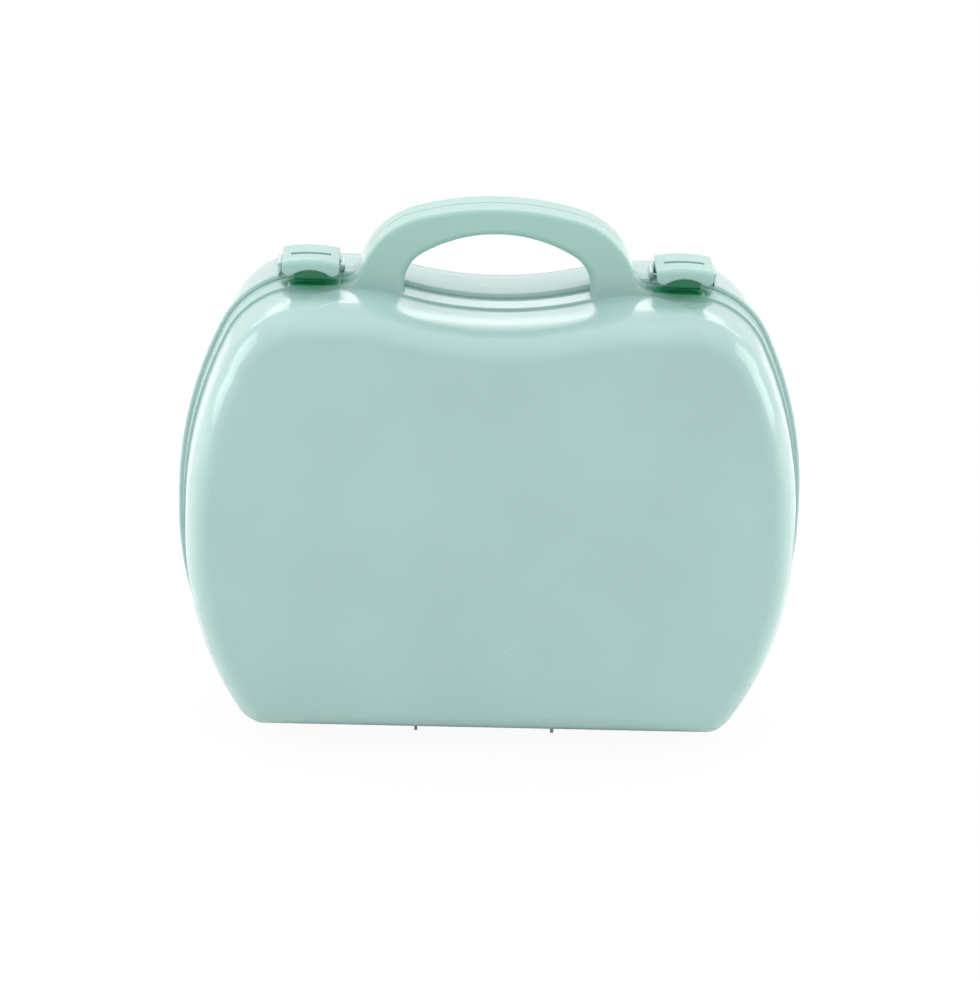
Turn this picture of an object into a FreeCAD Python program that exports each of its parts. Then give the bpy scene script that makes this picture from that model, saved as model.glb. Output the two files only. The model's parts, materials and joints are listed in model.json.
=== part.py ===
import FreeCAD, Part
import math
import os
import re
import Sketcher

# Hinged plastic play case, built closed and standing on its feet.
# +X runs along the width, +Y from the front shell to the rear shell, +Z up.
# The origin is the middle of the base, and the seam between the shells is the plane Y = 0.

# Driving sizes in millimetres and degrees
SIZES = [
    ("half_width", 129.8),          # widest half width of the rim at the seam
    ("rim_bottom", 3.5),            # height of the rim's underside at the seam
    ("rim_top", 193.8),             # height of the rim's flat top at the seam
    ("side_low", 89.4),             # height where the lower side arc starts
    ("side_high", 97.4),            # height where the upper side arc starts
    ("side_lower_radius", 143.0),
    ("side_upper_radius", 172.0),
    ("corner_radius", 16.0),
    ("shoulder_radius", 38.0),
    ("valley_depth", 8.0),          # dip of the rim under the handle
    ("valley_radius", 150.0),
    ("valley_edge_radius", 58.0),
    ("rim_depth", 11.0),            # depth of the rim band of one shell
    ("rim_draft", 4.0),
    ("rim_step", 0.9),              # step from the rim down to the shell wall
    ("rim_wall", 3.1),              # thickness of the rim at the seam
    ("front_depth", 48.5),          # seam plane to the flat face of the front shell
    ("rear_depth", 51.5),           # seam plane to the flat back of the rear shell
    ("shell_draft", 3.0),
    ("face_round_depth", 22.0),     # soft round between the sides and the flat face, along the depth
    ("face_round_width", 12.0),     # the same round, measured along the face
    ("wall", 2.0),
    ("lip_proud", 1.9),             # rear rim stands out round the front rim
    ("seam_gap", 0.3),              # gap between the closed shells
    ("handle_rise", 33.5),          # top of the handle above the rim's flat top
    ("handle_opening_rise", 22.2),
    ("handle_opening_half", 38.4),
    ("handle_crown_radius", 125.0),
    ("handle_turn_radius", 34.0),
    ("handle_turn_drop", 3.8),      # the handle's sides stand upright this far below the rim's top
    ("handle_flare_radius", 8.0),
    ("opening_crown_radius", 60.0),
    ("opening_turn_radius", 15.0),
    ("handle_outer_round", 1.8),
    ("handle_inner_round", 3.5),
    ("handle_skin", 2.2),           # wall of the hollow handle halves
    ("foot_spread", 29.0),          # front foot ribs, either side of the middle
    ("foot_shift", 5.0),            # rear foot ribs stand this much further out
    ("foot_thickness", 1.2),
    ("foot_start", 13.5),           # near end of a foot rib from the seam
    ("foot_reach", 25.0),           # far end of its bottom edge from the seam
    ("foot_slope", 4.0),            # a foot's far edge leans out this much
    ("foot_root", 6.6),             # height inside the wall where the foot ribs start
    ("hinge_height", 2.3),
    ("hinge_web", 5.6),             # the knuckles' webs end this high inside the rims
    ("knuckle_radius", 2.3),
    ("knuckle_length", 9.0),
    ("knuckle_gap", 0.4),
    ("hinge_spread", 62.0),         # middle of a hinge, either side of the middle
    ("pin_radius", 1.0),
    ("pin_clearance", 0.08),
    ("pin_chamfer", 0.2),
    ("relief_gap", 0.5),            # clearance round the other shell's knuckles
    ("latch_spread", 77.2),
    ("latch_width", 23.6),
    ("latch_front", 13.2),          # front edge of the latch from the seam
    ("latch_back", 11.8),           # rear edge of the latch from the seam
    ("latch_rise", 10.5),           # top of a latch above the rim's flat top
    ("latch_crown", 1.2),
    ("latch_plate", 2.6),           # thickness of the latch at the middle of its crown
    ("latch_lip_rise", 3.7),        # lowest points of the latch's lip above the rim's top
    ("latch_arch", 2.8),            # rise of the lip's finger arch
    ("latch_lip", 1.9),
    ("latch_lobe", 3.1),            # round of the lip's two lower corners
    ("latch_lobe_flat", 0.3),
    ("latch_front_round", 2.5),
    ("latch_back_round", 2.0),
    ("hook_y", -8.3),
    ("hook_thickness", 1.5),
    ("hook_barb", 0.7),
    ("hook_rise", 1.1),
    ("latch_slot_width", 16.5),
    ("latch_slot_length", 2.6),
    ("latch_slot_y", -1.9),
    ("latch_pin_y", 10.0),
    ("latch_pin_rise", 3.8),
    ("latch_pin_radius", 0.9),
    ("barrel_radius", 2.2),
    ("cheek_thickness", 1.8),
    ("cheek_gap", 0.35),
    ("cheek_front", 0.15),          # front end of a cheek from the seam
    ("cheek_root_drop", 2.3),       # the cheeks start this far below the front rim's top
    ("cheek_round", 2.0),           # radius of a cheek round the latch pin
    ("scoop_half", 16.0),           # half width of the drum cut at the depth of a finger scoop
    ("scoop_length", 13.0),
    ("scoop_depth", 2.1),
    ("scoop_tilt", 4.0),
    ("bed_cover", 3.3),             # thickened wall under a scoop: from this far inside the outline
    ("bed_reach", 5.8),             # down to this far inside it
    ("bed_half", 16.0),
    ("bed_start", 9.0),
    ("bed_end", 27.0),
    ("catch_rise", 0.6),            # height of the catch ridge under a latch
    ("catch_width", 14.0),
    ("catch_y", 5.6),
    ("catch_length", 2.4),
]

doc = FreeCAD.newDocument("toy_case")
sheet = doc.addObject("Spreadsheet::Sheet", "Sizes")
for row, (alias, value) in enumerate(SIZES, start=1):
    sheet.set("A%d" % row, alias)
    sheet.set("B%d" % row, str(value))
    sheet.setAlias("B%d" % row, alias)
doc.recompute()


def size(expression):
    """Value of an expression that is written with the sheet's aliases."""
    value = sheet.evalExpression(expression)
    return float(getattr(value, "Value", value))


ALIASES = {alias for alias, value in SIZES}


def bound(expression):
    """The same expression for an object other than the sheet."""
    return re.sub("[a-z_]+", lambda word: ("Sizes." if word[0] in ALIASES else "") + word[0], expression)


# Heights that follow the rim's flat top
HANDLE_TOP = "( rim_top + handle_rise )"
OPENING_TOP = "( rim_top + handle_opening_rise )"
HANDLE_TURN = "( rim_top - handle_turn_drop )"
LATCH_TOP = "( rim_top + latch_rise )"
LATCH_LIP_LOW = "( rim_top + latch_lip_rise )"
LATCH_PIN_HEIGHT = "( rim_top + latch_pin_rise )"
HOOK_LOW = "( rim_top + hook_rise )"
CATCH_TOP = "( rim_top + catch_rise )"
CHEEK_ROOT = "( rim_top - cheek_root_drop )"


def origin_plane(body, role):
    for feature in body.Origin.OriginFeatures:
        if feature.Role == role:
            return feature
    raise ValueError(role)


def new_body(name):
    body = doc.addObject("PartDesign::Body", name)
    body.Label = name
    return body


def new_sketch(body, name, plane, lift="0"):
    """Sketch on one of the body's origin planes, moved along its normal by lift."""
    sketch = body.newObject("Sketcher::SketchObject", name)
    sketch.AttachmentSupport = [(origin_plane(body, plane), "")]
    sketch.MapMode = "FlatFace"
    sketch.AttachmentOffset = FreeCAD.Placement(FreeCAD.Vector(0, 0, size(lift)), FreeCAD.Rotation())
    sketch.setExpression("AttachmentOffset.Base.z", bound(lift))
    return sketch


def set_size(sketch, label, kind, target, expression):
    """Adds one driving constraint and binds it to the sheet."""
    index = sketch.addConstraint(Sketcher.Constraint(kind, *target, size(expression)))
    sketch.renameConstraint(index, label)
    sketch.setExpression("Constraints." + label, bound(expression))


START = 1
END = 2
CENTRE = 3


def polygon(body, name, plane, lift, corners):
    """Closed outline through corners, each a pair of expressions."""
    sketch = new_sketch(body, name, plane, lift)
    points = [FreeCAD.Vector(size(across), size(up), 0) for across, up in corners]
    following = points[1:] + points[:1]
    for start, end in zip(points, following):
        sketch.addGeometry(Part.LineSegment(start, end))
    for number, (across, up) in enumerate(corners):
        after = (number + 1) % len(corners)
        sketch.addConstraint(Sketcher.Constraint("Coincident", number, END, after, START))
        set_size(sketch, "across_%d" % number, "DistanceX", (number, START), across)
        set_size(sketch, "up_%d" % number, "DistanceY", (number, START), up)
    return sketch


def add_circle(sketch, number, across, up, radius):
    """Adds a circle; number is its place among the sketch's shapes."""
    centre = FreeCAD.Vector(size(across), size(up), 0)
    sketch.addGeometry(Part.Circle(centre, FreeCAD.Vector(0, 0, 1), size(radius)))
    set_size(sketch, "circle_radius", "Radius", (number,), radius)
    set_size(sketch, "circle_across", "DistanceX", (number, CENTRE), across)
    set_size(sketch, "circle_up", "DistanceY", (number, CENTRE), up)


def circle(body, name, plane, lift, across, up, radius):
    sketch = new_sketch(body, name, plane, lift)
    add_circle(sketch, 0, across, up, radius)
    return sketch


def finish(body, feature):
    """Makes a new feature the body's tip and stops where it failed."""
    body.Tip = feature
    doc.recompute()
    if "Invalid" in feature.State or feature.Shape.isNull() or not feature.Shape.isValid():
        raise RuntimeError("%s failed: %s" % (feature.Label, feature.getStatusString()))
    return feature


def swept(kind, body, name, sketch, length, flipped, middle):
    feature = body.newObject(kind, name)
    feature.Profile = sketch
    feature.Length = size(length)
    feature.setExpression("Length", bound(length))
    feature.Reversed = flipped
    feature.Midplane = middle
    feature.Refine = True
    return finish(body, feature)


def pad(body, name, sketch, length, flipped=False, middle=False):
    """Adds material from a sketch; flipped runs it against the sketch's normal."""
    return swept("PartDesign::Pad", body, name, sketch, length, flipped, middle)


def cut(body, name, sketch, length, flipped=False, middle=False):
    """Removes material and makes sure that something was removed."""
    before = body.Shape.Volume
    feature = swept("PartDesign::Pocket", body, name, sketch, length, flipped, middle)
    if feature.Shape.Volume >= before - 0.01:
        raise RuntimeError(name + " removed nothing")
    return feature


def dressed(kind, measure, body, name, amount, chosen):
    """Rounds or chamfers every edge of the body for which chosen(edge) is true."""
    base = body.Tip
    names = ["Edge%d" % number for number, edge in enumerate(base.Shape.Edges, start=1) if chosen(edge)]
    feature = body.newObject(kind, name)
    feature.Base = (base, names)
    setattr(feature, measure, size(amount))
    feature.setExpression(measure, bound(amount))
    return finish(body, feature)


def round_edges(body, name, radius, chosen):
    return dressed("PartDesign::Fillet", "Radius", body, name, radius, chosen)


def in_plane(edge, y):
    box = edge.BoundBox
    return abs(box.YMin - y) < 0.01 and abs(box.YMax - y) < 0.01


# Outlines of lines and tangent arcs, symmetric about the middle, each from the lowest right-hand piece up

def around(centre, radius, start, end):
    """Three points of an arc."""
    turns = (start, (start + end) / 2, end)
    return [(centre[0] + radius * math.cos(turn), centre[1] + radius * math.sin(turn)) for turn in turns]


def direction(start, end):
    return math.atan2(end[1] - start[1], end[0] - start[0])


def closed_wire(right, top_middle, y):
    """Wire through the right-hand pieces, an arc over top_middle, their mirror images and a base line."""
    left = [[(-across, up) for across, up in reversed(piece)] for piece in reversed(right)]
    first = right[0][0]
    last = right[-1][-1]
    over = [last, (0.0, top_middle), (-last[0], last[1])]
    base = [(-first[0], first[1]), first]
    edges = []
    for piece in right + [over] + left + [base]:
        points = [FreeCAD.Vector(across, y, up) for across, up in piece]
        if len(points) == 2:
            edges.append(Part.makeLine(*points))
        else:
            edges.append(Part.Arc(*points).toShape())
    return Part.Wire(edges)


def case_outline(inset, y, lift=0.0):
    """Outline of the case at the seam, moved inwards by inset, with its base raised by lift."""
    half = size("half_width") - inset
    bottom = size("rim_bottom") + inset + lift
    top = size("rim_top") - inset
    low = size("side_low")
    high = size("side_high")
    corner = size("corner_radius") - inset
    lower = size("side_lower_radius") - inset
    upper = size("side_upper_radius") - inset
    shoulder = size("shoulder_radius") - inset
    edge = size("valley_edge_radius") - inset
    valley = size("valley_radius") + inset
    valley_low = top - size("valley_depth")

    lower_centre = (half - lower, low)
    upper_centre = (half - upper, high)
    corner_rise = low - bottom - corner
    corner_reach = math.sqrt((lower - corner) ** 2 - corner_rise ** 2)
    corner_centre = (lower_centre[0] + corner_reach, bottom + corner)
    shoulder_rise = top - shoulder - high
    shoulder_reach = math.sqrt((upper - shoulder) ** 2 - shoulder_rise ** 2)
    shoulder_centre = (upper_centre[0] + shoulder_reach, top - shoulder)
    edge_rise = valley_low + valley - top + edge
    edge_centre = (math.sqrt((valley + edge) ** 2 - edge_rise ** 2), top - edge)
    corner_turn = direction(lower_centre, corner_centre)
    shoulder_turn = direction(upper_centre, shoulder_centre)
    edge_turn = direction(edge_centre, (0.0, valley_low + valley))
    quarter = math.pi / 2
    right = [
        around(corner_centre, corner, -quarter, corner_turn),
        around(lower_centre, lower, corner_turn, 0.0),
        [(half, low), (half, high)],
        around(upper_centre, upper, 0.0, shoulder_turn),
        around(shoulder_centre, shoulder, shoulder_turn, quarter),
        [(shoulder_centre[0], top), (edge_centre[0], top)],
        around(edge_centre, edge, quarter, edge_turn),
    ]
    return closed_wire(right, valley_low, y)


def arch_arcs(skin):
    """Centres and radii of the handle's outer and inner arcs, moved into its material by skin."""
    crown = size("handle_crown_radius") - skin
    turn = size("handle_turn_radius") - skin
    crown_centre = (0.0, size(HANDLE_TOP + " - handle_crown_radius"))
    turn_rise = size(HANDLE_TURN) - crown_centre[1]
    turn_centre = (math.sqrt((crown - turn) ** 2 - turn_rise ** 2), size(HANDLE_TURN))
    inner_crown = size("opening_crown_radius") + skin
    inner_turn = size("opening_turn_radius") + skin
    inner_crown_centre = (0.0, size(OPENING_TOP + " - opening_crown_radius"))
    inner_across = size("handle_opening_half - opening_turn_radius")
    inner_rise = math.sqrt((inner_crown - inner_turn) ** 2 - inner_across ** 2)
    inner_turn_centre = (inner_across, inner_crown_centre[1] + inner_rise)
    outer = [(crown_centre, crown), (turn_centre, turn)]
    inner = [(inner_crown_centre, inner_crown), (inner_turn_centre, inner_turn)]
    return outer + inner


def arch_outside(y):
    """Outer outline of the handle with feet that flare out onto the rim."""
    (crown_centre, crown), (turn_centre, turn), _, _ = arch_arcs(0.0)
    flare = size("handle_flare_radius")
    root = size("rim_top - valley_depth - wall * 2")
    flare_rise = size("rim_top") + flare - turn_centre[1]
    flare_centre = (turn_centre[0] + math.sqrt((turn + flare) ** 2 - flare_rise ** 2), size("rim_top") + flare)
    flare_turn = direction(turn_centre, flare_centre)
    foot = (flare_centre[0], size("rim_top"))
    right = [
        [(flare_centre[0], root), foot],
        around(flare_centre, flare, -math.pi / 2, flare_turn - math.pi),
        around(turn_centre, turn, flare_turn, direction(crown_centre, turn_centre)),
    ]
    return closed_wire(right, crown_centre[1] + crown, y)


def arch_opening(y):
    """Grip opening of the handle, down to the handle's root."""
    _, _, (crown_centre, crown), (turn_centre, turn) = arch_arcs(0.0)
    side = turn_centre[0] + turn
    right = [
        [(side, size("rim_top - valley_depth - wall * 3")), (side, turn_centre[1])],
        around(turn_centre, turn, 0.0, direction(crown_centre, turn_centre)),
    ]
    return closed_wire(right, crown_centre[1] + crown, y)


def arch_inside(y, outer):
    """The same arcs moved into the handle's material by its skin, closed at the rim's top."""
    arcs = arch_arcs(size("handle_skin"))
    (crown_centre, crown), (turn_centre, turn) = arcs[:2] if outer else arcs[2:]
    floor = size("rim_top")
    floor_turn = math.asin((floor - turn_centre[1]) / turn)
    right = [around(turn_centre, turn, floor_turn, direction(crown_centre, turn_centre))]
    return closed_wire(right, crown_centre[1] + crown, y)


def prism(wire, depth):
    """Solid from a wire along the depth of the case."""
    return Part.Face(wire).extrude(FreeCAD.Vector(0, depth, 0))


def tapered(near_inset, near_y, far_inset, far_y, lift):
    """Solid with straight drafted walls between two outlines of the case."""
    outlines = [case_outline(near_inset, near_y, lift), case_outline(far_inset, far_y, lift)]
    return Part.makeLoft(outlines, True, True)


def dish(face, near_inset, near_y, thickness, steps, grow):
    """Solid dish: drafted walls from near_y, then a soft quarter-oval round to the flat face."""
    out = math.copysign(1, face)
    turn_y = abs(face) - size("face_round_depth")
    turn_inset = near_inset + size("tan( shell_draft * 1 deg )") * (turn_y - abs(near_y))
    depth = size("face_round_depth") - thickness
    width = size("face_round_width") - thickness
    walls = tapered(near_inset - grow, near_y, turn_inset - grow, out * turn_y, grow)
    outlines = []
    for step in range(steps + 1):
        lean = math.pi / 2 * step / steps
        turn = math.atan2(depth * math.sin(lean), width * math.cos(lean))
        inset = turn_inset + width * (1 - math.cos(turn))
        outlines.append(case_outline(inset - grow, out * (turn_y + depth * math.sin(turn)), grow))
    return walls.fuse(Part.makeLoft(outlines, True, True))


def rounded(solid, radius, chosen):
    return solid.makeFillet(radius, [edge for edge in solid.Edges if chosen(edge)])


def handle_half(seam, band):
    """Solid half of the handle with a broad round on the grip and a smaller one outside."""
    root = size("rim_top - valley_depth")
    reach = size("handle_opening_half") + 0.01
    outer = rounded(prism(arch_outside(seam), band - seam), size("handle_outer_round"),
                    lambda edge: in_plane(edge, band) and edge.BoundBox.ZMax > root)
    opened = outer.cut(prism(arch_opening(seam), band - seam))
    return rounded(opened, size("handle_inner_round"),
                   lambda edge: in_plane(edge, band) and edge.BoundBox.ZMax > root
                   and -reach < edge.BoundBox.XMin and edge.BoundBox.XMax < reach)


def latch_beds(out):
    """Thickened wall under the two finger scoops, a strip of the case's own outline."""
    near = out * size("bed_start")
    far = out * size("bed_end")
    strip = prism(case_outline(size("bed_cover"), near), far - near)
    strip = strip.cut(prism(case_outline(size("bed_reach"), near), far - near))
    half = size("bed_half")
    beds = []
    for middle in (-size("latch_spread"), size("latch_spread")):
        corner = FreeCAD.Vector(middle - half, min(near, far), size("rim_top / 2"))
        beds.append(strip.common(Part.makeBox(2 * half, abs(far - near), size("rim_top"), corner)))
    return beds


def scoop_cutters():
    """Half-oval finger scoops in front of the latches: drums that rise from under the rim to the wall."""
    half = size("scoop_half")
    length = size("scoop_length")
    depth = size("scoop_depth")
    radius = (half ** 2 + depth ** 2) / (2 * depth)
    rise = math.atan2(depth - length * size("tan( shell_draft * 1 deg )"), length)
    start = -size("rim_depth")
    floor = size("rim_top - rim_depth * tan( rim_draft * 1 deg ) - rim_step - scoop_depth")
    along = FreeCAD.Vector(0, -math.cos(rise), math.sin(rise))
    across = FreeCAD.Vector(0, math.sin(rise), math.cos(rise))
    cutters = []
    for side in (-1, 1):
        low = FreeCAD.Vector(side * size("latch_spread"), start, floor)
        drum = Part.makeCylinder(radius, 2 * length, low + across * radius - along * length / 2, along)
        drum.rotate(low, FreeCAD.Vector(0, 1, 0), side * size("scoop_tilt"))
        corner = low + FreeCAD.Vector(-1.5 * half, -2 * length, -2 * depth)
        cutters.append(drum.common(Part.makeBox(3 * half, 2 * length, 4 * depth, corner)))
    return cutters


def shell_walls(face, grow):
    """Open moulded wall of one shell with its half of the hollow handle, grown outwards by grow."""
    out = math.copysign(1, face)
    seam = out * size("seam_gap / 2")
    band = out * size("rim_depth")
    band_inset = size("rim_depth * tan( rim_draft * 1 deg )")
    rim = tapered(-grow, seam, band_inset - grow, band, grow)
    outside = dish(face, band_inset + size("rim_step"), band, 0.0, 6, grow)
    inside = dish(face, size("rim_wall"), seam, size("wall"), 3, grow)
    skin = out * size("handle_skin")
    hollow = prism(arch_inside(seam, True), band - skin - seam).cut(prism(arch_inside(seam, False), band))
    return rim.fuse([outside, handle_half(seam, band)]).cut([inside, hollow]).removeSplitter()


def based_body(name, shape):
    """Body whose first feature is a shape that was made with Part functions."""
    base = doc.addObject("Part::Feature", name + "_walls")
    base.Shape = shape
    body = new_body(name)
    body.BaseFeature = base
    doc.recompute()
    return body


def add_feet(body, front):
    """Two thin foot ribs under the shell."""
    away = "0 - " if front else ""
    spread = "foot_spread" if front else "( foot_spread + foot_shift )"
    corners = [
        (away + "foot_start", "0"),
        (away + "foot_reach", "0"),
        (away + "( foot_reach + foot_slope )", "foot_root"),
        (away + "foot_start", "foot_root"),
    ]
    for side, mirror in (("left", "0 - "), ("right", "")):
        name = "%s_%s_foot" % (body.Label, side)
        outline = polygon(body, name + "_outline", "YZ_Plane", mirror + spread, corners)
        pad(body, name, outline, "foot_thickness", middle=True)


def web_corners(front):
    """Web that ties a knuckle to its own rim."""
    away = "0 - " if front else ""
    return [
        (away + "seam_gap / 2", "hinge_height"),
        (away + "knuckle_radius", "hinge_height"),
        (away + "knuckle_radius", "hinge_web"),
        (away + "seam_gap / 2", "hinge_web"),
    ]


KNUCKLE_STEP = "( knuckle_length + knuckle_gap )"


def add_front_hinge(body):
    """One middle knuckle per hinge, and clearance round the rear shell's outer knuckles."""
    for side, mirror in (("left", "0 - "), ("right", "")):
        name = "front_%s_hinge" % side
        place = mirror + "hinge_spread"
        for hand, step in (("inner", " - "), ("outer", " + ")):
            clearance = circle(body, "%s_%s_clearance" % (name, hand), "YZ_Plane", place + step + KNUCKLE_STEP,
                               "0", "hinge_height", "knuckle_radius + relief_gap")
            cut(body, "%s_%s_relief" % (name, hand), clearance,
                "knuckle_length + 2 * knuckle_gap", middle=True)
        web = polygon(body, name + "_web_outline", "YZ_Plane", place, web_corners(True))
        pad(body, name + "_web", web, "knuckle_length", middle=True)
        barrel = circle(body, name + "_knuckle_circle", "YZ_Plane", place,
                        "0", "hinge_height", "knuckle_radius")
        pad(body, name + "_knuckle", barrel, "knuckle_length", middle=True)
        bore = circle(body, name + "_bore_circle", "YZ_Plane", place, "0", "hinge_height",
                      "pin_radius + pin_clearance")
        cut(body, name + "_bore", bore, "knuckle_length + 2 * knuckle_gap", middle=True)


def add_rear_hinge(body):
    """Two outer knuckles per hinge with room for the front shell's middle knuckle."""
    for side, mirror in (("left", "0 - "), ("right", "")):
        name = "rear_%s_hinge" % side
        place = mirror + "hinge_spread"
        web = polygon(body, name + "_web_outline", "YZ_Plane", place, web_corners(False))
        pad(body, name + "_web", web, HINGE_LENGTH, middle=True)
        barrel = circle(body, name + "_knuckle_circle", "YZ_Plane", place,
                        "0", "hinge_height", "knuckle_radius")
        pad(body, name + "_knuckle", barrel, HINGE_LENGTH, middle=True)
        clearance = circle(body, name + "_clearance", "YZ_Plane", place, "0", "hinge_height",
                           "knuckle_radius + relief_gap")
        cut(body, name + "_relief", clearance, "knuckle_length + 2 * knuckle_gap", middle=True)
        bore = circle(body, name + "_bore_circle", "YZ_Plane", place, "0", "hinge_height",
                      "pin_radius + pin_clearance")
        cut(body, name + "_bore", bore, HINGE_LENGTH, middle=True)


HINGE_LENGTH = "3 * knuckle_length + 2 * knuckle_gap"


def add_catches(body):
    """Ridge on the rim under each latch."""
    corners = [
        ("0 - catch_y - catch_length / 2", "rim_top - rim_wall / 2"),
        ("0 - catch_y - catch_length / 4", CATCH_TOP),
        ("0 - catch_y + catch_length / 4", CATCH_TOP),
        ("0 - catch_y + catch_length / 2", "rim_top - rim_wall / 2"),
    ]
    for side, mirror in (("left", "0 - "), ("right", "")):
        ridge = polygon(body, side + "_catch_outline", "YZ_Plane", mirror + "latch_spread", corners)
        pad(body, side + "_catch", ridge, "catch_width", middle=True)


def add_cheeks(body):
    """Two upright cheeks on the rear rim for each latch, with the bore for its pin."""
    corners = [
        ("cheek_front", CHEEK_ROOT),
        ("rim_depth - cheek_gap", CHEEK_ROOT),
        ("latch_pin_y + cheek_round", "rim_top + cheek_round"),
        ("latch_pin_y + cheek_round", LATCH_PIN_HEIGHT + " + cheek_round"),
        ("cheek_front", LATCH_PIN_HEIGHT + " + cheek_round / 2"),
    ]
    reach = "( latch_width / 2 + cheek_gap + cheek_thickness / 2 )"
    for side, mirror in (("left", "0 - "), ("right", "")):
        for hand, step in (("first", " - "), ("second", " + ")):
            name = "%s_%s_cheek" % (side, hand)
            place = mirror + "latch_spread" + step + reach
            outline = polygon(body, name + "_outline", "YZ_Plane", place, corners)
            pad(body, name, outline, "cheek_thickness", middle=True)
        bore = circle(body, side + "_latch_bore_circle", "YZ_Plane", mirror + "latch_spread",
                      "latch_pin_y", LATCH_PIN_HEIGHT, "latch_pin_radius + pin_clearance")
        cut(body, side + "_latch_bore", bore, LATCH_PIN_LENGTH, middle=True)
    back = size("latch_pin_y + cheek_round")
    top = size(LATCH_PIN_HEIGHT + " + cheek_round")
    round_edges(body, "cheek_back_round", "cheek_round - 0.05",
                lambda edge: in_plane(edge, back) and edge.BoundBox.ZMin > top - 0.01)
    front = size("cheek_front")
    shoulder = size(LATCH_PIN_HEIGHT)
    inner = size("latch_spread - latch_width")
    round_edges(body, "cheek_front_round", "cheek_thickness / 2",
                lambda edge: in_plane(edge, front) and edge.BoundBox.ZMin > shoulder
                and abs(edge.BoundBox.Center.x) > inner)


LATCH_PIN_LENGTH = "latch_width + 2 * cheek_gap + 2 * cheek_thickness"


def latch(name, mirror):
    """Moulded latch: a crowned plate with a slot, a front lip, a hook and a barrel round its pin."""
    body = new_body(name)
    place = mirror + "latch_spread"
    half = "latch_width / 2"
    block = polygon(body, name + "_block", "XZ_Plane", "latch_front", [
        (place + " - " + half, LATCH_LIP_LOW),
        (place + " + " + half, LATCH_LIP_LOW),
        (place + " + " + half, LATCH_TOP),
        (place + " - " + half, LATCH_TOP),
    ])
    pad(body, name + "_body", block, "latch_front + latch_back", flipped=True)
    under = polygon(body, name + "_under", "YZ_Plane", place, [
        ("latch_lip - latch_front", LATCH_LIP_LOW + " - 1"),
        ("latch_lip - latch_front", LATCH_TOP + " - latch_plate"),
        ("latch_pin_y - barrel_radius", LATCH_TOP + " - latch_plate"),
        ("latch_pin_y - barrel_radius", LATCH_PIN_HEIGHT),
        ("latch_back + 1", LATCH_PIN_HEIGHT),
        ("latch_back + 1", LATCH_LIP_LOW + " - 1"),
    ])
    cut(body, name + "_underside", under, "latch_width + 1", middle=True)
    barrel = circle(body, name + "_barrel_circle", "YZ_Plane", place,
                    "latch_pin_y", LATCH_PIN_HEIGHT, "barrel_radius")
    pad(body, name + "_barrel", barrel, "latch_width", middle=True)
    hook = polygon(body, name + "_hook_outline", "YZ_Plane", place, [
        ("hook_y - hook_thickness", LATCH_TOP + " - latch_plate"),
        ("hook_y - hook_thickness", HOOK_LOW + " + hook_thickness / 2"),
        ("hook_y - hook_thickness / 2", HOOK_LOW),
        ("hook_y + hook_barb", HOOK_LOW + " + hook_barb / 2"),
        ("hook_y", HOOK_LOW + " + 2 * hook_barb"),
        ("hook_y", LATCH_TOP + " - latch_plate"),
    ])
    pad(body, name + "_hook", hook, "catch_width - 2 * cheek_gap", middle=True)
    slot = polygon(body, name + "_slot_outline", "XY_Plane", LATCH_TOP, [
        (place + " - latch_slot_width / 2", "latch_slot_y - latch_slot_length / 2"),
        (place + " + latch_slot_width / 2", "latch_slot_y - latch_slot_length / 2"),
        (place + " + latch_slot_width / 2", "latch_slot_y + latch_slot_length / 2"),
        (place + " - latch_slot_width / 2", "latch_slot_y + latch_slot_length / 2"),
    ])
    cut(body, name + "_slot", slot, "latch_plate + 0.5")
    bore = circle(body, name + "_bore_circle", "YZ_Plane", place, "latch_pin_y", LATCH_PIN_HEIGHT,
                  "latch_pin_radius + pin_clearance")
    cut(body, name + "_bore", bore, "latch_width + 1", middle=True)
    lobe = "( latch_width / 2 - latch_lobe - latch_lobe_flat )"
    arch_radius = "( ( " + lobe + " ^ 2 + latch_arch ^ 2 ) / ( 2 * latch_arch ) )"
    arch = circle(body, name + "_arch_circle", "XZ_Plane", "latch_front + 0.5", place,
                  LATCH_LIP_LOW + " + latch_arch - " + arch_radius, arch_radius)
    cut(body, name + "_finger_arch", arch, "latch_lip + 0.6")
    crown_radius = "( ( ( latch_width / 2 ) ^ 2 + latch_crown ^ 2 ) / ( 2 * latch_crown ) )"
    crown = polygon(body, name + "_crown_outline", "XZ_Plane", "latch_front + 1", [
        (place + " - 2 * " + crown_radius, LATCH_TOP + " - 4 * " + crown_radius),
        (place + " + 2 * " + crown_radius, LATCH_TOP + " - 4 * " + crown_radius),
        (place + " + 2 * " + crown_radius, LATCH_TOP + " + " + crown_radius),
        (place + " - 2 * " + crown_radius, LATCH_TOP + " + " + crown_radius),
    ])
    add_circle(crown, 4, place, LATCH_TOP + " - " + crown_radius, crown_radius)
    cut(body, name + "_crown", crown, "latch_front + latch_back + 2")
    low = size(LATCH_LIP_LOW)
    sides = (size(place + " - " + half), size(place + " + " + half))
    round_edges(body, name + "_lobe_round", "latch_lobe",
                lambda edge: edge.BoundBox.ZMax < low + 0.01 and edge.BoundBox.XLength < 0.01
                and min(abs(edge.BoundBox.XMin - side) for side in sides) < 0.01)
    ends = size(LATCH_TOP + " - latch_crown")
    round_edges(body, name + "_front_round", "latch_front_round",
                lambda edge: in_plane(edge, -size("latch_front")) and edge.BoundBox.ZMin > ends - 0.01)
    round_edges(body, name + "_back_round", "latch_back_round",
                lambda edge: in_plane(edge, size("latch_back")) and edge.BoundBox.ZMin > ends - 0.01)
    return body


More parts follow.
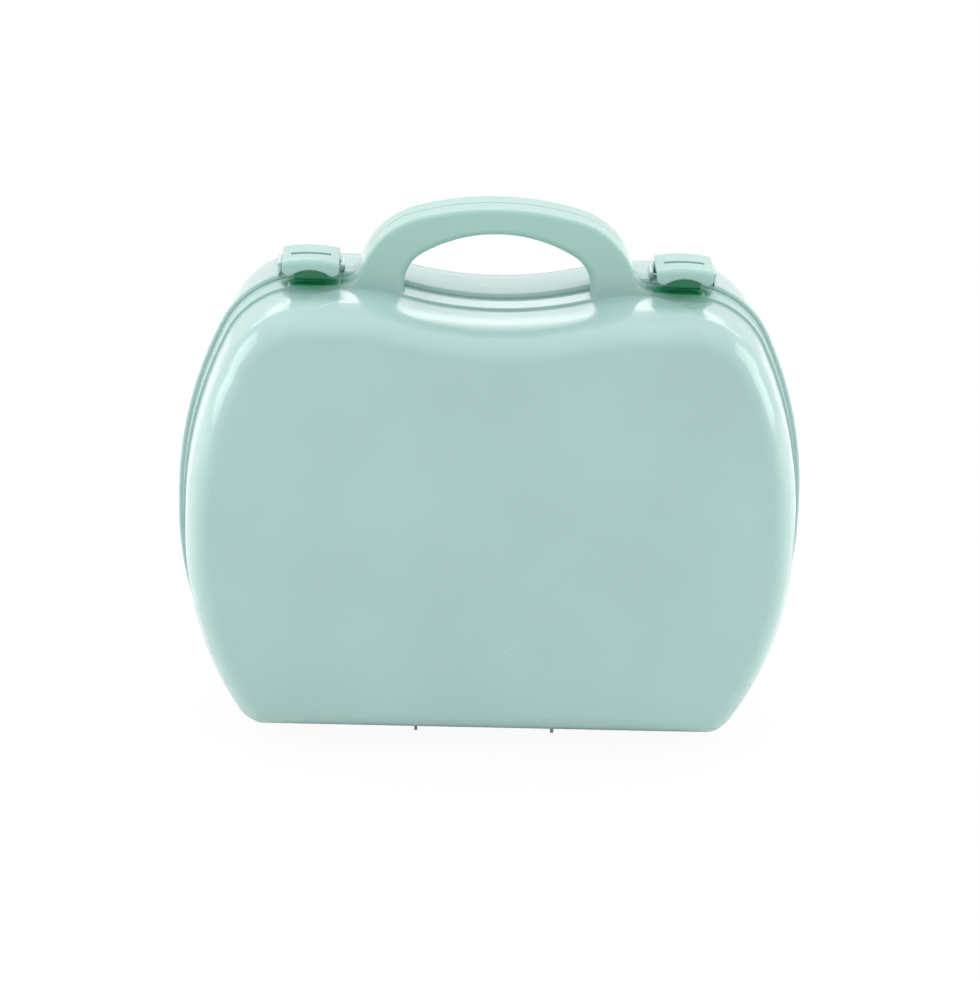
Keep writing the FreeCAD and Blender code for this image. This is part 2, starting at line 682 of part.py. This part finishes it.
def pin(name, mirror, spread, length, height, depth, radius):
    """Plain round pin with chamfered ends, lying along the width."""
    body = new_body(name)
    outline = circle(body, name + "_circle", "YZ_Plane", mirror + spread, depth, height, radius)
    pad(body, name + "_rod", outline, length, middle=True)
    dressed("PartDesign::Chamfer", "Size", body, name + "_ends", "pin_chamfer",
            lambda edge: edge.BoundBox.XLength < 0.01)
    return body


def build():
    """Every part of the case, each under its own name."""
    parts = []
    for side, mirror in (("left", "0 - "), ("right", "")):
        parts.append(latch("latch_" + side, mirror))
        parts.append(pin("latch_pin_" + side, mirror, "latch_spread", LATCH_PIN_LENGTH,
                         LATCH_PIN_HEIGHT, "latch_pin_y", "latch_pin_radius"))
        parts.append(pin("hinge_pin_" + side, mirror, "hinge_spread", HINGE_LENGTH,
                         "hinge_height", "0", "pin_radius"))
    front_walls = shell_walls(-size("front_depth"), 0.0).fuse(latch_beds(-1)).cut(scoop_cutters())
    front = based_body("front_shell", front_walls.removeSplitter())
    add_feet(front, True)
    add_front_hinge(front)
    add_catches(front)
    rear = based_body("rear_shell", shell_walls(size("rear_depth"), size("lip_proud")))
    add_feet(rear, False)
    add_rear_hinge(rear)
    add_cheeks(rear)
    parts += [front, rear]
    return parts


def check(parts):
    """Stops before anything is written where an object or a shape is bad."""
    for thing in doc.Objects:
        if "Invalid" in thing.State or "Error" in thing.State:
            raise RuntimeError("bad object: " + thing.Label)
    for body in parts:
        shape = body.Shape
        if shape.isNull() or not shape.isValid() or len(shape.Solids) != 1:
            raise RuntimeError("bad shape: " + body.Label)


parts = build()
doc.recompute()
check(parts)
os.makedirs("parts", exist_ok=True)
for body in parts:
    body.Shape.exportStep("parts/%s.step" % body.Label)
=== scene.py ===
import json
import math
import bpy
import bmesh
from mathutils import Matrix, Vector


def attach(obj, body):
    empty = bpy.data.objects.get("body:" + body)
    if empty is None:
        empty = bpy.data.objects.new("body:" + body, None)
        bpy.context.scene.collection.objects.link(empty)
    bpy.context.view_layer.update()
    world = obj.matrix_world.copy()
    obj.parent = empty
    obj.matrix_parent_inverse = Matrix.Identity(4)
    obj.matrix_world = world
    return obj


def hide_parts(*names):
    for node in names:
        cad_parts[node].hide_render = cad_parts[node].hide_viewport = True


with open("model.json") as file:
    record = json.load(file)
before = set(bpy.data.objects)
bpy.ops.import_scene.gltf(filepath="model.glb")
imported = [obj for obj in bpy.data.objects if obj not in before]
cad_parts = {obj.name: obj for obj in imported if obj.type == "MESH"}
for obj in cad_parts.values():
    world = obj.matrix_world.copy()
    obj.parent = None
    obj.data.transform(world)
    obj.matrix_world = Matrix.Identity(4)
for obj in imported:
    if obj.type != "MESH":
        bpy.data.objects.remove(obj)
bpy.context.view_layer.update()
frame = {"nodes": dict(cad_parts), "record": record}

# The two shells
# Both halves are thin open dishes of polypropylene, injection moulded in a pale mint colour that goes
# right through. The polished mould leaves an even soft gloss, and play leaves fine scuffs.

MM = 0.001
MINT = "#A3C3BF"                 # body colour of the plastic on an open face
MINT_GRIP = "#9FC5BC"            # the hollow grip has two walls, so its colour is a little deeper
MINT_PAINTED_GAP_SHADE = "#97CBBE"             # deeper green painted as shade and bounced light where walls of it stand close
MINT_PAINTED_HOLLOW_SHADE = "#007F50"            # deep green painted as shade in the narrow hollow under a latch lip
MINT_SCRATCH = "#D4E8E4"         # whitened plastic along a scratch
GRIP_FROM = 194 * MM
GRIP_FULL = 204 * MM
LATCH_SPREAD = 77.2 * MM         # from the middle of the case to the middle of a latch
# Box round the hollow under each latch lip, where its painted shade goes
HOLLOW_AT = (LATCH_SPREAD, -7.0 * MM, 195.5 * MM)
HOLLOW_HALF = (17.0 * MM, 7.0 * MM, 5.8 * MM)
SCRATCH = 0.0009                 # share of the noise range that a hairline scratch takes up
RIM_STEP_Y = 11 * MM             # where the thicker rim steps down to the wall, before and behind the seam
LIP_Y = 0.15 * MM                # front face of the rear shell's lip
SOFT_STEP = 0.45 * MM
SOFT_LIP = 1.2 * MM
SOFT_LOW = 30 * MM               # the softened edges run between these heights, clear of hinge and grip
SOFT_HIGH = 195.8 * MM
CASE_MIDDLE = Vector((0, 0, 100 * MM))
SMOOTH_BELOW = math.radians(32)  # the soft rounds are smooth, the rim's steps stay crisp


def linear(sheet_colour):
    """Linear colour of an sRGB hex value."""
    channels = [int(sheet_colour[i:i + 2], 16) / 255 for i in (1, 3, 5)]
    return [c / 12.92 if c <= 0.04045 else ((c + 0.055) / 1.055) ** 2.4 for c in channels] + [1.0]


def add_node(tree, kind, settings=None, links=None):
    """Adds a node, sets its properties or sockets and links its inputs."""
    node = tree.nodes.new(kind)
    for name, value in (settings or {}).items():
        if isinstance(name, str) and hasattr(node, name):
            setattr(node, name, value)
        else:
            node.inputs[name].default_value = value
    for name, source in (links or {}).items():
        tree.links.new(source, node.inputs[name])
    return node


def moulded_plastic(name, roughness, scuffs, edge_round):
    """Polypropylene with the glossy skin of a polished mould, rubbed patches, and painted shade: deeper green in
    gaps and under the latch lips.
    """
    material = bpy.data.materials.new(name)
    material.use_nodes = True
    tree = material.node_tree
    tree.nodes.clear()
    place = add_node(tree, "ShaderNodeTexCoord").outputs["Object"]
    # Painted shade: where the AO finds close walls within 12 mm, gaps are painted a deeper green that stands in
    # for light bounced between them
    open_sky = add_node(tree, "ShaderNodeAmbientOcclusion", {"samples": 8, "Distance": 12 * MM})
    painted_gap_share = add_node(tree, "ShaderNodeMapRange", {"From Min": 0.2, "From Max": 0.62, "To Min": 1.0, "To Max": 0.0},
                   {"Value": open_sky.outputs["AO"]})
    # Flow of the melt leaves clouds of slightly different tint about 60 mm across
    cloud = add_node(tree, "ShaderNodeTexNoise", {"Scale": 1 / (60 * MM), "Detail": 2.0}, {"Vector": place})
    tint = add_node(tree, "ShaderNodeMapRange", {"From Min": 0.3, "From Max": 0.7, "To Min": 0.96, "To Max": 1.03},
                    {"Value": cloud.outputs["Fac"]})
    mint = add_node(tree, "ShaderNodeVectorMath", {"operation": "SCALE", 0: linear(MINT)[:3]},
                    {"Scale": tint.outputs["Result"]})
    height = add_node(tree, "ShaderNodeSeparateXYZ", None, {0: place})
    grip = add_node(tree, "ShaderNodeMapRange", {"From Min": GRIP_FROM, "From Max": GRIP_FULL},
                    {"Value": height.outputs["Z"]})
    walled = add_node(tree, "ShaderNodeMix", {"data_type": "RGBA", 7: linear(MINT_GRIP)},
                      {0: grip.outputs["Result"], 6: mint.outputs["Vector"]})
    # painted gap shade mixed over the plastic's colour
    between = add_node(tree, "ShaderNodeMix", {"data_type": "RGBA", 7: linear(MINT_PAINTED_GAP_SHADE)},
                       {0: painted_gap_share.outputs["Result"], 6: walled.outputs[2]})
    # Painted shade: under each latch lip, inside a box round the hollow and only where the AO finds it roofed, a
    # deep green is painted
    from_middle = add_node(tree, "ShaderNodeMath", {"operation": "ABSOLUTE"}, {0: height.outputs["X"]})
    mirrored = add_node(tree, "ShaderNodeCombineXYZ", None,
                        {0: from_middle.outputs["Value"], 1: height.outputs["Y"], 2: height.outputs["Z"]})
    offset = add_node(tree, "ShaderNodeVectorMath", {"operation": "SUBTRACT", 1: HOLLOW_AT},
                      {0: mirrored.outputs["Vector"]})
    shares = add_node(tree, "ShaderNodeVectorMath", {"operation": "DIVIDE", 1: HOLLOW_HALF},
                      {0: offset.outputs["Vector"]})
    reach = add_node(tree, "ShaderNodeVectorMath", {"operation": "LENGTH"}, {0: shares.outputs["Vector"]})
    hollow = add_node(tree, "ShaderNodeMapRange",
                      {"From Min": 0.7, "From Max": 1.2, "To Min": 1.0, "To Max": 0.0},
                      {"Value": reach.outputs["Value"]})
    roofed = add_node(tree, "ShaderNodeMapRange",
                      {"From Min": 0.82, "From Max": 0.98, "To Min": 1.0, "To Max": 0.0},
                      {"Value": open_sky.outputs["AO"]})
    painted_hollow_shade = add_node(tree, "ShaderNodeMath", {"operation": "MULTIPLY"},
                             {0: hollow.outputs["Result"], 1: roofed.outputs["Result"]})
    shaded = add_node(tree, "ShaderNodeMix", {"data_type": "RGBA", 7: linear(MINT_PAINTED_HOLLOW_SHADE)},
                      {0: painted_hollow_shade.outputs["Value"], 6: between.outputs[2]})
    # A few pale hairline scratches, along the contours of a slow noise and only where a second one peaks
    bend = add_node(tree, "ShaderNodeTexNoise", {"Scale": 1 / (80 * MM), "Detail": 0.5}, {"Vector": place})
    line = add_node(tree, "ShaderNodeMath", {"operation": "COMPARE", 1: 0.5, 2: SCRATCH},
                    {0: bend.outputs["Fac"]})
    spread = add_node(tree, "ShaderNodeTexNoise", {"Scale": 1 / (35 * MM), "Detail": 1.0}, {"Vector": place})
    worn = add_node(tree, "ShaderNodeMapRange",
                    {"From Min": 0.61, "From Max": 0.68, "To Min": 0.0, "To Max": 0.4},
                    {"Value": spread.outputs["Fac"]})
    scratch = add_node(tree, "ShaderNodeMath", {"operation": "MULTIPLY"},
                       {0: line.outputs["Value"], 1: worn.outputs["Result"]})
    colour = add_node(tree, "ShaderNodeMix", {"data_type": "RGBA", 7: linear(MINT_SCRATCH)},
                      {0: scratch.outputs["Value"], 6: shaded.outputs[2]})
    # Dull rubbed patches about 25 mm across, where the case has been handled and slid
    rub = add_node(tree, "ShaderNodeTexNoise", {"Scale": 1 / (25 * MM), "Detail": 5.0, "Roughness": 0.6},
                   {"Vector": place})
    scuff = add_node(tree, "ShaderNodeMapRange",
                     {"From Min": 0.45, "From Max": 0.75, "To Min": 0.0, "To Max": scuffs},
                     {"Value": rub.outputs["Fac"]})
    shine = add_node(tree, "ShaderNodeMath", {"operation": "ADD", 1: roughness},
                     {0: scuff.outputs["Result"]})
    # Slow unevenness of the cooled wall, 45 mm across, and slightly rounded edges
    edge = add_node(tree, "ShaderNodeBevel", {"samples": 6, "Radius": edge_round})
    wave = add_node(tree, "ShaderNodeTexNoise", {"Scale": 1 / (45 * MM), "Detail": 1.0}, {"Vector": place})
    bump = add_node(tree, "ShaderNodeBump", {"Strength": 0.1, "Distance": 0.25 * MM},
                    {"Height": wave.outputs["Fac"], "Normal": edge.outputs["Normal"]})
    shader = add_node(tree, "ShaderNodeBsdfPrincipled",
                      {"IOR": 1.49, "Subsurface Weight": 0.35,
                       "Subsurface Radius": (0.7, 1.0, 0.95), "Subsurface Scale": 2.0 * MM,
                       "Coat Weight": 0.4, "Coat Roughness": 0.12},
                      {"Base Color": colour.outputs[2], "Roughness": shine.outputs["Value"],
                       "Normal": bump.outputs["Normal"]})
    add_node(tree, "ShaderNodeOutputMaterial", None, {"Surface": shader.outputs["BSDF"]})
    return material


def outer_edge_at(edge, plane):
    """Whether an edge is the outer one of the rim in this plane across the depth."""
    middle = (edge.verts[0].co + edge.verts[1].co) / 2
    if any(abs(corner.co.y - plane) > 0.02 * MM for corner in edge.verts):
        return False
    if not SOFT_LOW < middle.z < SOFT_HIGH or edge.calc_face_angle(0) < math.radians(50):
        return False
    side = min(edge.link_faces, key=lambda face: abs(face.normal.y))
    return edge.is_convex and side.normal.dot(middle - CASE_MIDDLE) > 0


def soften(piece, plane, width):
    """Rounds the outer rim edge in one plane, as the mould has it."""
    bpy.ops.object.mode_set(mode="EDIT")
    bpy.ops.mesh.select_mode(type="EDGE")
    bpy.ops.mesh.select_all(action="DESELECT")
    mesh = bmesh.from_edit_mesh(piece.data)
    for edge in mesh.edges:
        edge.select_set(outer_edge_at(edge, plane))
    bmesh.update_edit_mesh(piece.data)
    bpy.ops.mesh.bevel(offset=width, segments=3, affect="EDGES", clamp_overlap=True)
    bpy.ops.object.mode_set(mode="OBJECT")


def moulded_copy(node, material, soft_edges=()):
    """Merged copy of a piece with its soft rounds shaded smooth; it stands for the piece."""
    source = frame["nodes"][node]
    piece = bpy.data.objects.new(node + "_moulded", source.data.copy())
    bpy.context.scene.collection.objects.link(piece)
    bpy.ops.object.select_all(action="DESELECT")
    piece.select_set(True)
    bpy.context.view_layer.objects.active = piece
    bpy.ops.object.mode_set(mode="EDIT")
    bpy.ops.mesh.customdata_custom_splitnormals_clear()
    bpy.ops.mesh.select_all(action="SELECT")
    bpy.ops.mesh.remove_doubles(threshold=0.005 * MM)
    bpy.ops.object.mode_set(mode="OBJECT")
    for plane, width in soft_edges:
        soften(piece, plane, width)
    bpy.ops.object.shade_smooth_by_angle(angle=SMOOTH_BELOW)
    flat_first = piece.modifiers.new("flat faces stay flat", "WEIGHTED_NORMAL")
    flat_first.keep_sharp = True
    flat_first.weight = 80
    bpy.ops.object.modifier_apply(modifier=flat_first.name)
    piece.data.materials.clear()
    piece.data.materials.append(material)
    for body, members in frame["record"]["behaviour"]["bodies"].items():
        if node in members:
            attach(piece, body)
    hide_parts(node)
    return piece


mint_polypropylene = moulded_plastic("mint moulded polypropylene", 0.2, 0.06, 1.4 * MM)
moulded_copy("front_shell", mint_polypropylene, [(-RIM_STEP_Y, SOFT_STEP)])
moulded_copy("rear_shell", mint_polypropylene, [(LIP_Y, SOFT_LIP), (RIM_STEP_Y, SOFT_STEP)])

# The latches
# Two small levers of the same plastic, moulded with a crowned top, a slot and a finger lip. Each
# turns on its own pin between two cheeks of the rear shell.

latch_polypropylene = moulded_plastic("latch moulded polypropylene", 0.18, 0.05, 1.0 * MM)
for side in ("left", "right"):
    moulded_copy("latch_" + side, latch_polypropylene)

# The pins
# Plain steel wire, drawn bright, cut to length and chamfered, pressed through the knuckles and cheeks.

steel = bpy.data.materials.new("drawn steel wire")
steel.use_nodes = True
tree = steel.node_tree
tree.nodes.clear()
place = add_node(tree, "ShaderNodeTexCoord").outputs["Object"]
# Drawing lines run along the wire, 0.1 mm apart
along = add_node(tree, "ShaderNodeMapping", {"Scale": (0.02, 1.0, 1.0)}, {"Vector": place})
lines = add_node(tree, "ShaderNodeTexNoise", {"Scale": 1 / (0.1 * MM), "Detail": 1.0},
                 {"Vector": along.outputs["Vector"]})
dull = add_node(tree, "ShaderNodeMapRange", {"To Min": 0.24, "To Max": 0.42}, {"Value": lines.outputs["Fac"]})
wire = add_node(tree, "ShaderNodeBsdfPrincipled", {"Base Color": linear("#B9BCBE"), "Metallic": 1.0},
                {"Roughness": dull.outputs["Result"]})
add_node(tree, "ShaderNodeOutputMaterial", None, {"Surface": wire.outputs["BSDF"]})
for name in ("latch_pin_left", "latch_pin_right", "hinge_pin_left", "hinge_pin_right"):
    frame["nodes"][name].data.materials.clear()
    frame["nodes"][name].data.materials.append(steel)

# Floor and backdrop
# A plain white studio sheet that keeps the case's soft shadow; to the camera it runs into white.

bpy.ops.object.select_all(action="DESELECT")
bpy.ops.mesh.primitive_plane_add(size=8, location=(0, 0, -0.0002))
floor = bpy.context.object
floor.name = "studio floor"
paper = bpy.data.materials.new("white studio paper")
paper.use_nodes = True
tree = paper.node_tree
tree.nodes.clear()
sheet = add_node(tree, "ShaderNodeBsdfDiffuse", {"Color": linear("#F4F4F3")})
glow = add_node(tree, "ShaderNodeEmission", {"Color": (1, 1, 1, 1), "Strength": 1.0})
ray = add_node(tree, "ShaderNodeLightPath")
share = add_node(tree, "ShaderNodeMath", {"operation": "MULTIPLY", 1: 0.94}, {0: ray.outputs["Is Camera Ray"]})
both = add_node(tree, "ShaderNodeMixShader", None,
                {0: share.outputs["Value"], 1: sheet.outputs["BSDF"], 2: glow.outputs["Emission"]})
add_node(tree, "ShaderNodeOutputMaterial", None, {"Surface": both.outputs["Shader"]})
floor.data.materials.append(paper)

# Light
# A long low soft box behind the case that draws its top edges, a wide one overhead, one at each side
# behind it, and an even pale room.


def soft_box(name, place, aim, width, height, power):
    data = bpy.data.lights.new(name, "AREA")
    data.shape = "RECTANGLE"
    data.size = width
    data.size_y = height
    data.energy = power
    lamp = bpy.data.objects.new(name, data)
    bpy.context.scene.collection.objects.link(lamp)
    lamp.location = place
    lamp.rotation_euler = (Vector(aim) - Vector(place)).to_track_quat("-Z", "Y").to_euler()
    return lamp


soft_box("back soft box", (0.0, 1.3, 0.85), (0, 0, 0.15), 2.4, 0.12, 3)
soft_box("overhead soft box", (0.0, 0.0, 1.5), (0, 0, 0.1), 2.0, 1.8, 6)
soft_box("left soft box", (-1.2, 0.25, 0.5), (0, 0, 0.1), 0.7, 0.9, 5)
soft_box("right soft box", (1.2, 0.25, 0.5), (0, 0, 0.1), 0.7, 0.9, 5)

room = bpy.data.worlds.new("pale room")
bpy.context.scene.world = room
room.use_nodes = True
tree = room.node_tree
tree.nodes.clear()
ray = add_node(tree, "ShaderNodeLightPath")
even = add_node(tree, "ShaderNodeBackground", {"Color": (1, 1, 1, 1), "Strength": 0.96})
white = add_node(tree, "ShaderNodeBackground", {"Color": (1, 1, 1, 1), "Strength": 1.0})
sharp = add_node(tree, "ShaderNodeMath", {"operation": "MAXIMUM"},
                 {0: ray.outputs["Is Glossy Ray"], 1: ray.outputs["Is Transmission Ray"]})
seen = add_node(tree, "ShaderNodeMath", {"operation": "MAXIMUM"},
                {0: ray.outputs["Is Camera Ray"], 1: sharp.outputs["Value"]})
mix = add_node(tree, "ShaderNodeMixShader", None,
               {0: seen.outputs["Value"], 1: even.outputs["Background"], 2: white.outputs["Background"]})
add_node(tree, "ShaderNodeOutputWorld", None, {"Surface": mix.outputs["Shader"]})

# Camera
# A long lens 1.6 m away and 20 degrees above the level, turned a little, as the photograph was taken.

PHOTO_WIDTH = 980
PHOTO_HEIGHT = 981
SEEN_POINT = Vector((0, 0, 117.9)) * MM       # point of the case that the view was matched about
SEEN_AT = (491.3, 451.8)                      # where it lies in the photograph, in pixels
DISTANCE = 1600 * MM
ELEVATION = math.radians(20)
YAW = math.radians(-1.72)
ROLL = math.radians(1.92)
PIXELS_PER_MM = 2.369
back = Vector((math.sin(YAW) * math.cos(ELEVATION), -math.cos(YAW) * math.cos(ELEVATION), math.sin(ELEVATION)))
right = Vector((math.cos(YAW), math.sin(YAW), 0))
up = back.cross(right)
camera_data = bpy.data.cameras.new("camera")
camera_data.sensor_fit = "HORIZONTAL"
camera_data.sensor_width = 36
camera_data.lens = PIXELS_PER_MM * DISTANCE / MM * camera_data.sensor_width / PHOTO_WIDTH
camera_data.shift_x = (PHOTO_WIDTH / 2 - SEEN_AT[0]) / PHOTO_WIDTH
camera_data.shift_y = (SEEN_AT[1] - PHOTO_HEIGHT / 2) / PHOTO_WIDTH
camera = bpy.data.objects.new("camera", camera_data)
bpy.context.scene.collection.objects.link(camera)
across = right * math.cos(ROLL) + up * math.sin(ROLL)
upward = up * math.cos(ROLL) - right * math.sin(ROLL)
turn = Matrix((across, upward, back)).transposed().to_4x4()
camera.matrix_world = Matrix.Translation(SEEN_POINT + back * DISTANCE) @ turn
bpy.context.scene.camera = camera
bpy.context.scene.view_settings.view_transform = "Standard"
